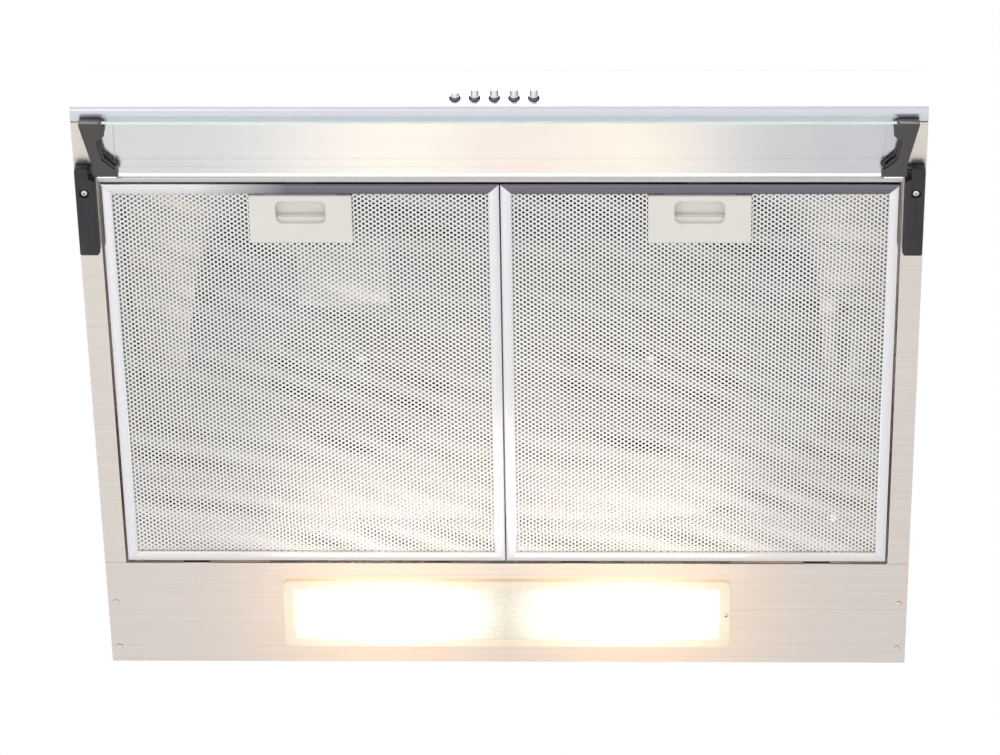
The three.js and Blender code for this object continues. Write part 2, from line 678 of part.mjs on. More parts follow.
function blowerTray() {
  const floor = prism('z', stadium(FAN_X, FAN_Y, BLOWER_RADIUS, 14), BLOWER_FLOOR, BLOWER_FLOOR + 2.5);
  const mouths = [LEFT, RIGHT].map((side) =>
    prism('z', circle(side * FAN_X, FAN_Y, INLET_RADIUS + BLOWER_WALL, 28), BLOWER_FLOOR + 1, BLOWER_FLOOR + 8),
  );
  const inlets = [LEFT, RIGHT].map((side) =>
    prism('z', circle(side * FAN_X, FAN_Y, INLET_RADIUS, 28), BLOWER_FLOOR - 1, BLOWER_FLOOR + 9),
  );
  return cut(union(floor, ...mouths), ...inlets);
}

function blowerHousing() {
  const floor = BLOWER_FLOOR + 2.5 + GAP;
  const outside = prism('z', stadium(FAN_X, FAN_Y, BLOWER_RADIUS, 14), floor, BLOWER_ROOF);
  const inside = prism(
    'z', stadium(FAN_X, FAN_Y, BLOWER_RADIUS - BLOWER_WALL, 14), floor - 1, BLOWER_ROOF - BLOWER_WALL,
  );
  const divider = box([-1, 1], [FAN_Y - BLOWER_RADIUS + 1, 8], [floor, BLOWER_ROOF - 1]);
  const outlet = prism('z', circle(0, DUCT_Y, OUTLET_RADIUS, 32), BLOWER_ROOF - 5, 1);
  return cut(union(cut(outside, inside), divider), outlet);
}

function motor() {
  const top = BLOWER_ROOF - BLOWER_WALL - GAP;
  return revolve('z', [
    [0, -68], [4, -68], [4, -54], [12, -54], [30, -51], [36, -46], [36, top - 3], [44, top - 3],
    [44, top], [0, top],
  ], 18);
}

function impeller() {
  const bladeCount = 14;
  const [low, high] = [-85, -24];
  const rim = 12;
  const ring = (from, to) =>
    revolve('z', [
      [IMPELLER_RADIUS - rim, from], [IMPELLER_RADIUS, from], [IMPELLER_RADIUS, to],
      [IMPELLER_RADIUS - rim, to], [IMPELLER_RADIUS - rim, from],
    ], 24);
  const hub = revolve('z', [
    [4.3, -70], [9, -70], [9, -62], [IMPELLER_RADIUS - 2, -62], [IMPELLER_RADIUS - 2, -60],
    [4.3, -60], [4.3, -70],
  ], 24);
  const blades = Array.from({ length: bladeCount }, (_, i) => {
    const geometry = new THREE.BoxGeometry(rim - 1.4, 1.2, high - low - 2);
    geometry.rotateZ(THREE.MathUtils.degToRad(38));
    geometry.translate(IMPELLER_RADIUS - rim / 2, 0, (low + high) / 2);
    geometry.rotateZ((i * 2 * Math.PI) / bladeCount);
    return toSolid(geometry);
  });
  return union(ring(low, low + 2), ring(high - 2, high), hub, ...blades);
}

const LABEL_X = [-149, -83];
const LABEL_Y = [-106, -54];

addPiece(hood, 'blower_tray', blowerTray(), charcoalPlastic);
addPiece(hood, 'blower_housing', blowerHousing(), charcoalPlastic);
for (const [name, side] of SIDES) {
  addPiece(hood, `motor_${name}`, motor(), galvanised, [side * FAN_X, FAN_Y, 0]);
  addPiece(hood, `impeller_${name}`, impeller(), blackPlastic, [side * FAN_X, FAN_Y, 0]);
}
addPiece(
  hood, 'blank_label', box(LABEL_X, LABEL_Y, [BLOWER_FLOOR - GAP - 0.4, BLOWER_FLOOR - GAP]), paper,
);

// ---------------------------------------------------------------------------------------------
// Duct collar with two backdraft flaps, drawn about the duct's axis

/** Its flange lies on the blower's roof, inside the opening of the canopy's roof and below its top face. */
function ductCollar() {
  const [flangeFoot, flangeTop] = [BLOWER_ROOF + GAP, -0.2];
  const wall = COLLAR_BORE + 1.8;
  return revolve('z', [
    [COLLAR_BORE, flangeFoot], [FLANGE_RADIUS, flangeFoot], [FLANGE_RADIUS, flangeTop],
    [wall, flangeTop], [wall, COLLAR_HEIGHT], [COLLAR_BORE, COLLAR_HEIGHT], [COLLAR_BORE, flangeFoot],
  ], 32);
}

/** Half a disc that lies flat in the collar; side -1 is the front flap and 1 the rear one. */
function backdraftFlap(side) {
  const radius = COLLAR_BORE - 1;
  const offset = 2.4; // keeps the flap's straight edge clear of the pin
  const start = THREE.MathUtils.radToDeg(Math.asin(offset / radius));
  const outline = arc(0, 0, radius, start, 180 - start, 14).map(([x, y]) => [x, side * y]);
  return prism('z', outline, -0.5, 0.5);
}

const duct = new THREE.Group();
duct.position.set(0, DUCT_Y, 0);
hood.add(duct);
addPiece(duct, 'duct_collar', ductCollar(), blackPlastic);
const flapPin = prism('x', circle(0, 0, 1.5, 10), -COLLAR_BORE + 0.5, COLLAR_BORE - 0.5);
addPiece(duct, 'flap_pin', flapPin, steel, [0, 0, FLAP_Z]);
addPiece(duct, 'backdraft_flap_front', backdraftFlap(-1), blackPlastic, [0, 0, FLAP_Z]);
addPiece(duct, 'backdraft_flap_rear', backdraftFlap(1), blackPlastic, [0, 0, FLAP_Z]);

// ---------------------------------------------------------------------------------------------
// Electrics

const TERMINAL_TOP = -SHEET - 0.5;

function terminalBox() {
  const outline = roundedRectangle([GLAND.x - 35, GLAND.x + 35], [GLAND.y - 36, GLAND.y + 36], 4);
  const body = prism('z', outline, -40, TERMINAL_TOP);
  const hollow = box([GLAND.x - 33, GLAND.x + 33], [GLAND.y - 34, GLAND.y + 34], [-45, TERMINAL_TOP - 2]);
  const cableHole = prism('z', circle(GLAND.x, GLAND.y, GLAND.radius + GAP, 16), -10, 0);
  const leadHole = prism('x', circle(GLAND.y, -30, 3, 10), GLAND.x - 40, GLAND.x - 30);
  return cut(body, hollow, cableHole, leadHole);
}

function terminalCover() {
  const outline = roundedRectangle([GLAND.x - 35, GLAND.x + 35], [GLAND.y - 36, GLAND.y + 36], 4);
  return prism('z', outline, -42, -40 - GAP);
}

function cableGland() {
  const bore = 4;
  const seat = TERMINAL_TOP + GAP;
  return revolve('z', [
    [bore, -8], [GLAND.radius, -8], [GLAND.radius, seat], [GLAND.head, seat], [GLAND.head, 5],
    [GLAND.head - 3, 9], [bore, 9], [bore, -8],
  ], 14);
}

/** The flexible lead from the switch bank to the terminal box. */
function switchLead() {
  const route = new THREE.CatmullRomCurve3([
    new THREE.Vector3(-30, behind(26.8), BUTTON_Z + 4),
    new THREE.Vector3(-31, behind(32), BUTTON_Z + 4),
    new THREE.Vector3(-70, behind(40), BUTTON_Z + 10),
    new THREE.Vector3(-230, behind(44), BUTTON_Z + 14),
    new THREE.Vector3(-264, behind(75), BUTTON_Z + 20),
    new THREE.Vector3(-264, 100, -60),
    new THREE.Vector3(-250, 188, -36),
    new THREE.Vector3(GLAND.x - 35.5, GLAND.y, -30),
  ], false, 'centripetal');
  const section = new THREE.Shape(circle(0, 0, 2.5, 8).map(([a, b]) => new THREE.Vector2(a, b)));
  return toSolid(new THREE.ExtrudeGeometry(section, { steps: 26, extrudePath: route }));
}

function capacitor() {
  return revolve('y', [
    [0, -25], [14, -25], [15, -24], [15, 24], [14, 25], [5, 25], [5, 28], [0, 28],
  ], 14);
}

addPiece(hood, 'terminal_box', terminalBox(), whitePlastic);
addPiece(hood, 'terminal_box_cover', terminalCover(), whitePlastic);
addPiece(hood, 'cable_gland', cableGland(), blackPlastic, [GLAND.x, GLAND.y, 0]);
addPiece(hood, 'switch_lead', switchLead(), blackPlastic);
addPiece(hood, 'capacitor', capacitor(), galvanised, [262, 40, -18]);

export default hood;
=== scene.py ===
"""Looks of a 600 mm visor hood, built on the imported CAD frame. Lengths are in metres."""
import math

import bmesh
import bpy
import numpy as np
from mathutils import Matrix, Vector


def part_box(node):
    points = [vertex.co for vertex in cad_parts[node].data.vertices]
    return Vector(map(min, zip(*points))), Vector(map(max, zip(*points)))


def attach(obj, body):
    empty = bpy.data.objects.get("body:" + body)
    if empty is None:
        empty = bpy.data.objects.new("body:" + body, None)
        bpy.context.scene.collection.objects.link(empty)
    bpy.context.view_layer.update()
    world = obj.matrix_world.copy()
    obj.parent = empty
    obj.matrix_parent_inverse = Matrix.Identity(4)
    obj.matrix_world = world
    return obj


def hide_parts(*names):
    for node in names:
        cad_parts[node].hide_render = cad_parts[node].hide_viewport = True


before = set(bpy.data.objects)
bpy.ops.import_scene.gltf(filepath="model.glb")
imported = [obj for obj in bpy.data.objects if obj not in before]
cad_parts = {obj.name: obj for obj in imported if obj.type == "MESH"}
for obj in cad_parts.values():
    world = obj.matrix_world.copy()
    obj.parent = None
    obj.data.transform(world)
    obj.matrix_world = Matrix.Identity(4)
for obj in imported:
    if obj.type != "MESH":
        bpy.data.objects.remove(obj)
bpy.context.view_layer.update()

MM = 0.001
WELD = 0.00001  # CAD vertices nearer than this are one
SIDES = (("left", -1), ("right", 1))

# ---------------------------------------------------------------------------------------------
# Camera: below the front edge, looking up at the underside

CAMERA_PLACE = Vector((0.0901, -2.1014, -2.9806))
LOOK_UP = math.radians(53.78)
TURN = math.radians(-1.496)
ROLL = math.radians(-0.065)


def make_camera():
    """A long lens, turned from the level position by the angles above."""
    data = bpy.data.cameras.new("camera")
    data.lens = 175.07
    data.sensor_width = 36
    data.clip_end = 60
    camera = bpy.data.objects.new("camera", data)
    bpy.context.scene.collection.objects.link(camera)
    level = Matrix(
        (
            (1, 0, 0),
            (0, -math.sin(LOOK_UP), math.cos(LOOK_UP)),
            (0, -math.cos(LOOK_UP), -math.sin(LOOK_UP)),
        )
    )
    world_to_camera = Matrix.Rotation(TURN, 3, "Y") @ Matrix.Rotation(ROLL, 3, "Z") @ level
    camera.matrix_world = Matrix.Translation(CAMERA_PLACE) @ world_to_camera.transposed().to_4x4()
    bpy.context.scene.camera = camera


make_camera()

# ---------------------------------------------------------------------------------------------
# Shader helpers

# A Mix node's sockets for colors
MIX_SHARE, MIX_FIRST, MIX_SECOND, MIX_RESULT = 0, 6, 7, 2
# Pattern scales per metre, across the brushing
STREAKS, HAIRLINES = 420.0, 2600.0


class Shader:
    """A Principled material whose patterns are laid out in the object's own coordinates."""

    def __init__(self, name, color, metallic=0.0, roughness=0.5, **sockets):
        self.material = bpy.data.materials.new(name)
        self.material.use_nodes = True
        self.tree = self.material.node_tree
        self.bsdf = self.tree.nodes["Principled BSDF"]
        self.bsdf.inputs["Base Color"].default_value = (*color, 1)
        self.bsdf.inputs["Metallic"].default_value = metallic
        self.bsdf.inputs["Roughness"].default_value = roughness
        for socket, value in sockets.items():
            self.bsdf.inputs[socket.replace("_", " ")].default_value = value
        self.place = self.tree.nodes.new("ShaderNodeTexCoord").outputs["Object"]

    def node(self, kind, inputs=None, **settings):
        made = self.tree.nodes.new(kind)
        for key, value in settings.items():
            setattr(made, key, value)
        for key, value in (inputs or {}).items():
            if isinstance(value, bpy.types.NodeSocket):
                self.tree.links.new(value, made.inputs[key])
            else:
                made.inputs[key].default_value = value
        return made

    def stretched(self, scale):
        """Coordinates multiplied by scale along each axis."""
        return self.node("ShaderNodeMapping", {"Vector": self.place, "Scale": scale}).outputs["Vector"]

    def noise(self, scale, detail=2.0, rough=0.5):
        where = self.stretched(scale if hasattr(scale, "__len__") else (scale,) * 3)
        return self.node(
            "ShaderNodeTexNoise",
            {"Vector": where, "Scale": 1.0, "Detail": detail, "Roughness": rough},
        ).outputs["Fac"]

    def cells(self, scale):
        where = self.stretched((scale,) * 3)
        return self.node("ShaderNodeTexVoronoi", {"Vector": where, "Scale": 1.0})

    def math(self, operation, first, second=0.0):
        return self.node("ShaderNodeMath", {0: first, 1: second}, operation=operation).outputs[0]

    def parts(self):
        """The X, Y and Z of the object coordinates."""
        return self.node("ShaderNodeSeparateXYZ", {"Vector": self.place}).outputs

    def facing_up(self):
        """Z of the surface's true normal: -1 where it faces straight down."""
        normal = self.node("ShaderNodeNewGeometry").outputs["True Normal"]
        return self.node("ShaderNodeSeparateXYZ", {"Vector": normal}).outputs["Z"]

    def spread(self, value, low, high, from_low=0.3, from_high=0.7):
        """Maps from_low...from_high, by default where a noise varies, to low...high."""
        return self.node(
            "ShaderNodeMapRange",
            {"Value": value, "From Min": from_low, "From Max": from_high, "To Min": low, "To Max": high},
        ).outputs["Result"]

    def blend(self, share, first, second):
        """From the first color at share 0 to the second at share 1."""
        mix = self.node("ShaderNodeMix", data_type="RGBA")
        for index, value in ((MIX_SHARE, share), (MIX_FIRST, first), (MIX_SECOND, second)):
            if isinstance(value, bpy.types.NodeSocket):
                self.tree.links.new(value, mix.inputs[index])
            else:
                mix.inputs[index].default_value = value if index == MIX_SHARE else (*value, 1)
        return mix.outputs[MIX_RESULT]

    def to(self, socket, value):
        self.tree.links.new(value, self.bsdf.inputs[socket])

    def glow(self, strength, color):
        self.to("Emission Strength", strength)
        self.bsdf.inputs["Emission Color"].default_value = (*color, 1)

    def bump(self, height, strength, distance):
        made = self.node("ShaderNodeBump", {"Height": height, "Strength": strength, "Distance": distance})
        self.to("Normal", made.outputs["Normal"])


LAMP_X, LAMP_Y = 0.09, 0.202  # the bulbs' places on either side of the middle


def near_bulbs(shader, reach_x, reach_y):
    """1 in front of either bulb, down to about a third at the given reach."""
    parts = shader.parts()
    across = shader.math("SUBTRACT", shader.math("ABSOLUTE", parts["X"]), LAMP_X)
    across = shader.math("DIVIDE", across, reach_x)
    along = shader.math("DIVIDE", shader.math("SUBTRACT", parts["Y"], LAMP_Y), reach_y)
    far = shader.math("ADD", shader.math("MULTIPLY", across, across), shader.math("MULTIPLY", along, along))
    return shader.math("EXPONENT", shader.math("MULTIPLY", far, -1.0))


def brushed(name, color, along, roughness=(0.24, 0.4), tone=0.06, grain=0.25, shine=0.0):
    """Metal brushed along one axis; shine is the strength of the lamps' orange glow on its underside."""
    shader = Shader(name, color, 1.0, 0.3)
    if shine:
        near = near_bulbs(shader, 0.092, 0.12)
        below = shader.spread(shader.facing_up(), shine, 0, -0.9, -0.5)
        shader.glow(shader.math("MULTIPLY", near, below), (1.0, 0.50, 0.12))
    long_scale = [4.0 if axis == along else STREAKS for axis in "XYZ"]
    fine_scale = [26.0 if axis == along else HAIRLINES for axis in "XYZ"]
    streak = shader.noise(long_scale, 3.0, 0.6)
    line = shader.noise(fine_scale, 2.0, 0.6)
    smudge = shader.noise(9.0, 3.0, 0.55)
    both = shader.math("ADD", shader.math("MULTIPLY", streak, 0.6), shader.math("MULTIPLY", line, 0.4))
    rough = shader.spread(both, *roughness)
    shader.to("Roughness", shader.math("ADD", rough, shader.spread(smudge, -0.03, 0.05)))
    dark = [c * (1 - tone) for c in color]
    light = [min(1.0, c * (1 + tone)) for c in color]
    shader.to("Base Color", shader.blend(shader.spread(both, 0, 1), dark, light))
    shader.bump(line, grain, 0.00002)
    return shader.material


def galvanised(name, color):
    """Dull zinc with faint crystals."""
    shader = Shader(name, color, 0.85, 0.5)
    crystals = shader.cells(85.0).outputs["Color"]
    grey = shader.node("ShaderNodeSeparateColor", {"Color": crystals}).outputs[0]
    dark = [c * 0.88 for c in color]
    shader.to("Base Color", shader.blend(grey, dark, color))
    shader.to("Roughness", shader.spread(grey, 0.4, 0.6, 0, 1))
    shader.bump(shader.noise(700.0), 0.1, 0.0001)
    return shader.material


def moulded(name, color, roughness=(0.38, 0.5), grain=0.25, size=2600.0, tone=0.12, **sockets):
    """Moulded plastic or rubber with a spark-eroded texture and slight handling marks."""
    shader = Shader(name, color, 0.0, 0.45, **sockets)
    speck = shader.noise(size, 2.0, 0.6)
    marks = shader.noise(38.0, 4.0, 0.6)
    shader.to("Roughness", shader.spread(marks, *roughness))
    dark = [c * (1 - tone) for c in color]
    shader.to("Base Color", shader.blend(shader.spread(marks, 0, 1), dark, color))
    shader.bump(speck, grain, 0.00006)
    return shader.material


# The warm tint of the brushed and lit steel is painted warm light from the lamps
STEEL = brushed("brushed steel", (0.81, 0.75, 0.70), "X")
LIT_STEEL = brushed("lit steel", (0.80, 0.735, 0.69), "X", shine=0.42)
# The fascia steel's bluish tint is a painted cool reflection
FASCIA_STEEL = brushed("fascia steel", (0.75, 0.76, 0.82), "X", tone=0.02)
ZINC = galvanised("galvanised", (0.72, 0.73, 0.74))
SCREW = brushed("screw steel", (0.78, 0.78, 0.79), "Z", roughness=(0.2, 0.3))
CHROME = brushed("chrome", (0.90, 0.90, 0.92), "Y", roughness=(0.06, 0.12), tone=0.02, grain=0.05)
# The ring chrome is painted dark to stand in for its dark reflections
RING_PAINTED_DARK = brushed("ring chrome, painted dark reflection", (0.15, 0.15, 0.165), "Y", roughness=(0.1, 0.16), tone=0.02, grain=0.05)
# The across and along members are one aluminium: the along members are painted paler and cooler, the across
# members warmer and darker, as painted light
FRAME_X = brushed("frame aluminium across", (0.90, 0.87, 0.86), "X", roughness=(0.18, 0.3), tone=0.04)
FRAME_Y = brushed("frame aluminium along", (0.93, 0.92, 0.95), "Y", roughness=(0.18, 0.3), tone=0.04)
ARM = moulded("arm plastic", (0.045, 0.040, 0.038), roughness=(0.3, 0.4), Specular_IOR_Level=0.8)
BLACK = moulded("black plastic", (0.022, 0.022, 0.025))
BLOWER = moulded("blower plastic", (0.07, 0.07, 0.075), roughness=(0.45, 0.6))
HANDLE = moulded("handle plastic", (0.86, 0.84, 0.78), roughness=(0.3, 0.4), tone=0.04, grain=0.12)
WHITE = moulded("white plastic", (0.80, 0.80, 0.78), roughness=(0.3, 0.4), tone=0.03, grain=0.1)
CERAMIC = moulded("glazed ceramic", (0.84, 0.82, 0.78), roughness=(0.08, 0.16), tone=0.03, grain=0.03)
RUBBER = moulded("rubber", (0.025, 0.025, 0.025), roughness=(0.6, 0.75))
PAPER = moulded("label paper", (0.42, 0.41, 0.39), roughness=(0.5, 0.6), tone=0.02, grain=0.1, size=900.0)

# Rear edge of the front panel's recess: a painted highlight glowing on the rolled line, a third as strong on
# the step, then painted shade, a darker grey, on the flat strip
STEP_Y = -0.1913
LINE_START = STEP_Y - 0.0017
LINE_PAINTED_HIGHLIGHT, STEP_SHARE = 0.9, 0.33
# Painted light on the front panel along X: painted darker, cooler reflection towards the ends, and the lamps'
# painted warm light on either side of the middle
PANEL_PAINTED_LIGHT = [
    (-0.20, (0.73, 0.73, 0.74)),
    (-0.07, (0.98, 0.93, 0.84)),
    (0.01, (0.93, 0.83, 0.77)),
    (0.09, (0.98, 0.91, 0.80)),
    (0.20, (0.66, 0.67, 0.69)),
]


def recess_steel():
    """The front panel: cloudy brushed steel with painted light: painted colour along X, a painted warm glow
    in the recess's middle, a painted highlight on the recess's rear edge, and painted shade, a darker grey,
    on the flat strip behind its pressed recess.
    """
    shader = Shader("recess steel", (0.86, 0.85, 0.85), 1.0, 0.2)
    streak = shader.noise((5.0, STREAKS, STREAKS), 3.0, 0.6)
    cloud = shader.noise((11.0, 30.0, 30.0), 3.0, 0.55)
    rough = shader.spread(streak, 0.16, 0.22)
    shader.to("Roughness", shader.math("ADD", rough, shader.spread(cloud, -0.03, 0.05)))
    parts = shader.parts()
    # Painted light: the colour along X, darker and cooler at the ends, warm beside the lamps
    ramp = shader.node("ShaderNodeValToRGB", {"Fac": shader.math("ADD", parts["X"], 0.5)})
    stops = ramp.color_ramp.elements
    ramp.color_ramp.interpolation = "EASE"
    while len(stops) < len(PANEL_PAINTED_LIGHT):
        stops.new(0.5)
    for stop, (x, tone) in zip(stops, PANEL_PAINTED_LIGHT):
        stop.position = x + 0.5
        stop.color = (*tone, 1)
    dark = shader.blend(0.12, ramp.outputs["Color"], (0.5, 0.5, 0.53))
    pale = shader.blend(shader.spread(cloud, 0, 1), dark, ramp.outputs["Color"])
    strip = shader.spread(parts["Y"], 0, 1, STEP_Y - 0.0003, STEP_Y - 0.0001)
    # Painted warm glow of the lamps over the recess's middle, not on the strip
    middle = shader.spread(shader.math("ABSOLUTE", parts["X"]), 0.10, 0, 0.14, 0.23)
    flat = shader.math("MULTIPLY", middle, shader.math("SUBTRACT", 1.0, strip))
    # Painted highlight: a glow on the rolled line, a third as strong on the step
    line = shader.spread(parts["Y"], 0, LINE_PAINTED_HIGHLIGHT, LINE_START - 0.0002, LINE_START + 0.0001)
    to_step = shader.spread(parts["Y"], 1, STEP_SHARE, STEP_Y - 0.0003, STEP_Y - 0.0001)
    past_step = shader.spread(parts["Y"], 1, 0, STEP_Y + 0.0001, STEP_Y + 0.0003)
    line = shader.math("MULTIPLY", line, to_step)
    line = shader.math("MULTIPLY", line, past_step)
    shader.glow(shader.math("ADD", flat, line), (1.0, 0.87, 0.72))
    # Painted shade: the flat strip behind the step is a darker grey
    shader.to("Base Color", shader.blend(strip, pale, (0.62, 0.62, 0.65)))
    shader.bump(shader.noise((26.0, HAIRLINES, HAIRLINES)), 0.12, 0.00002)
    return shader.material


def mesh_metal(name, color, roughness, lamp_light):
    """Expanded aluminium with a thin film of old grease, lit by the lamps behind it."""
    shader = Shader(name, color, 1.0, roughness)
    film = shader.noise(16.0, 4.0, 0.6)
    speck = shader.noise(900.0, 1.0)
    rough = shader.spread(film, roughness - 0.05, roughness + 0.06)
    shader.to("Roughness", shader.math("ADD", rough, shader.spread(speck, -0.05, 0.05)))
    greasy = [c * shade for c, shade in zip(color, (0.96, 0.955, 0.94))]
    near = near_bulbs(shader, 0.19, 0.145)
    shader.glow(shader.math("MULTIPLY", near, lamp_light), (1.0, 0.90, 0.78))
    shader.to("Base Color", shader.blend(shader.spread(film, 0, 1), greasy, color))
    return shader.material


def clear_glass():
    """The visor's pane, with faint smears; its IOR is kept low, as the photo shows little reflection."""
    shader = Shader("visor glass", (1.0, 1.0, 1.0), 0.0, 0.02, IOR=1.12, Transmission_Weight=1.0)
    smear = shader.noise(14.0, 3.0)
    shader.to("Roughness", shader.spread(smear, 0.0, 0.04))
    return shader.material


def glass_edge():
    """The ground edge of float glass: pale green, with a faint painted glow for the light carried through the
    pane.
    """
    shader = Shader("glass edge", (0.72, 0.90, 0.85), 0.0, 0.25, Emission_Strength=0.06)
    shader.bsdf.inputs["Emission Color"].default_value = (0.7, 1.0, 0.88, 1)
    ground = shader.noise((60.0, 900.0, 900.0), 3.0)
    shader.to("Roughness", shader.spread(ground, 0.2, 0.35))
    shader.to("Base Color", shader.blend(shader.spread(ground, 0, 1), (0.68, 0.86, 0.81), (0.80, 0.92, 0.88)))
    return shader.material


def bulb_glass():
    """A frosted bulb, lit."""
    shader = Shader("frosted bulb", (1.0, 0.96, 0.9), 0.0, 0.4, Emission_Strength=6.0)
    frost = shader.noise(400.0)
    shader.to("Roughness", shader.spread(frost, 0.35, 0.5))
    shader.bsdf.inputs["Emission Color"].default_value = (1.0, 0.83, 0.6, 1)
    return shader.material


def lit_lens():
    """Frosted lens with a fine pebble, brightest in front of each bulb and tan at its edge."""
    shader = Shader("lit lens", (0.32, 0.31, 0.28), 0.0, 0.35)
    low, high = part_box("lamp_lens")
    parts = shader.parts()
    from_end = shader.math("SUBTRACT", high.x, shader.math("ABSOLUTE", parts["X"]))
    off_middle = shader.math("ABSOLUTE", shader.math("SUBTRACT", parts["Y"], (low.y + high.y) / 2))
    from_side = shader.math("SUBTRACT", (high.y - low.y) / 2, off_middle)
    edge = shader.spread(shader.math("MINIMUM", from_end, from_side), 0, 1, 0.0006, 0.0018)
    near = near_bulbs(shader, 0.05, 0.034)
    pebble = shader.cells(420.0).outputs["Distance"]
    grain = shader.spread(pebble, 0.85, 1.12, 0, 0.8)
    strength = shader.math("ADD", shader.math("MULTIPLY", near, 4.0), 0.34)
    strength = shader.math("MULTIPLY", strength, shader.spread(edge, 0.35, 1, 0, 1))
    shader.to("Emission Strength", shader.math("MULTIPLY", strength, grain))
    shader.to("Emission Color", shader.blend(near, (1.0, 0.90, 0.74), (1.0, 0.95, 0.84)))
    pale = shader.blend(grain, (0.28, 0.27, 0.24), (0.34, 0.33, 0.30))
    shader.to("Base Color", shader.blend(edge, (0.26, 0.19, 0.11), pale))
    shader.bump(pebble, 0.3, 0.0003)
    return shader.material


def lit_bezel():
    """Warm white plastic that passes some of the lamps' light."""
    shader = Shader("lens frame plastic", (0.60, 0.54, 0.44), 0.0, 0.32)
    near = near_bulbs(shader, 0.06, 0.05)
    # Painted light: the lamps' light through the plastic, plus an even glow that also lifts its shaded rim
    shader.glow(shader.math("ADD", shader.math("MULTIPLY", near, 0.85), 0.2), (1.0, 0.86, 0.62))
    marks = shader.noise(38.0, 4.0, 0.6)
    shader.to("Roughness", shader.spread(marks, 0.28, 0.38))
    shader.to("Base Color", shader.blend(shader.spread(marks, 0, 1), (0.58, 0.52, 0.42), (0.63, 0.57, 0.47)))
    shader.bump(shader.noise(2600.0), 0.08, 0.00006)
    return shader.material


def front_member():
    """The filters' front members: brushed, with painted dark reflection in streaks, darker from near the
    hood's left end on.
    """
    shader = Shader("frame aluminium front", (0.5, 0.49, 0.52), 1.0, 0.25)
    across = shader.parts()["X"]
    # Painted dark reflection: darker, in streaks, from near the hood's left end on
    painted_dark_share = shader.spread(across, 0, 1, -0.215, -0.15)
    streak = shader.noise((3.0, 900.0, 900.0), 3.0, 0.6)
    dark = shader.blend(shader.spread(streak, 0, 1), (0.17, 0.155, 0.19), (0.25, 0.235, 0.27))
    shader.to("Base Color", shader.blend(painted_dark_share, (0.84, 0.83, 0.83), dark))
    shader.to("Roughness", shader.spread(streak, 0.18, 0.3))
    shader.bump(shader.noise((26.0, HAIRLINES, HAIRLINES)), 0.2, 0.00002)
    return shader.material


RECESS_STEEL = recess_steel()
MESH_FRONT = mesh_metal("expanded aluminium", (0.97, 0.97, 0.97), 0.32, 0.15)
# The inner sheets are the same aluminium painted darker: painted shade behind the front sheet
MESH_INNER_SHADED = mesh_metal("inner aluminium, painted shade", (0.38, 0.38, 0.375), 0.4, 1.0)
GLASS = clear_glass()
GLASS_EDGE = glass_edge()
BULB = bulb_glass()
LENS = lit_lens()
BEZEL = lit_bezel()
FRAME_FRONT = front_member()

# ---------------------------------------------------------------------------------------------
# CAD nodes that stay: softened edges and the materials above

CAD_LOOKS = {
    "canopy_shell": STEEL,
    "front_fascia": FASCIA_STEEL,
    "front_under_panel": RECESS_STEEL,
    "rear_light_panel": LIT_STEEL,
    "switch_bank": WHITE,
    "lens_frame": BEZEL,
    "lamp_lens": LENS,
    "lamp_tray": ZINC,
    "blower_tray": BLOWER,
    "blower_housing": BLOWER,
    "blank_label": PAPER,
    "duct_collar": BLACK,
    "flap_pin": SCREW,
    "backdraft_flap_front": BLACK,
    "backdraft_flap_rear": BLACK,
    "terminal_box": WHITE,
    "terminal_box_cover": WHITE,
    "cable_gland": RUBBER,
    "switch_lead": RUBBER,
    "capacitor": ZINC,
}
for side, _ in SIDES:
    CAD_LOOKS |= {
        f"visor_pin_{side}": BLACK,
        f"filter_handle_{side}": HANDLE,
        f"filter_latch_{side}": HANDLE,
        f"lamp_bulb_{side}": BULB,
        f"lamp_holder_{side}": CERAMIC,
        f"motor_{side}": ZINC,
        f"impeller_{side}": BLACK,
    }

# Edge widths in mm; the other nodes have PLAIN_BEVEL
BEVELS = {
    "front_under_panel": 0.7,
    "filter_handle_left": 0.5,
    "filter_handle_right": 0.5,
    "front_fascia": 0.06,
    "canopy_shell": 0.06,
}
PLAIN_BEVEL = 0.3
UNBEVELLED = {"blank_label", "switch_lead"}


def finish_cad(name, look):
    """Gives a CAD node its material, smooth shading and softened edges."""
    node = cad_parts[name]
    for material_slot in node.material_slots:
        material_slot.material = look
    bpy.context.view_layer.objects.active = node
    bpy.ops.mesh.customdata_custom_splitnormals_clear()
    for polygon in node.data.polygons:
        polygon.use_smooth = True
    weld = node.modifiers.new("weld", "WELD")
    weld.merge_threshold = WELD
    if name in UNBEVELLED:
        return
    bevel = node.modifiers.new("edges", "BEVEL")
    bevel.width = BEVELS.get(name, PLAIN_BEVEL) * MM
    bevel.segments = 2
    bevel.limit_method = "ANGLE"
    bevel.angle_limit = math.radians(35)
    bevel.harden_normals = True


for name, look in CAD_LOOKS.items():
    finish_cad(name, look)

# ---------------------------------------------------------------------------------------------
# New pieces

SEGMENTS = 40  # around a turned piece
TIP = 0.02  # a turned piece's radius at its middle, in mm
TURNED_SHARP = 32  # degrees; a turned piece's edges over this stay sharp


def soften(piece, width, angle=35):
    """Rounds the edges sharper than the angle in degrees to a width in mm; shades the rest smooth."""
    for polygon in piece.data.polygons:
        polygon.use_smooth = True
    bevel = piece.modifiers.new("edges", "BEVEL")
    bevel.width = width * MM
    bevel.segments = 2
    bevel.limit_method = "ANGLE"
    bevel.angle_limit = math.radians(angle)
    bevel.harden_normals = True
    return piece


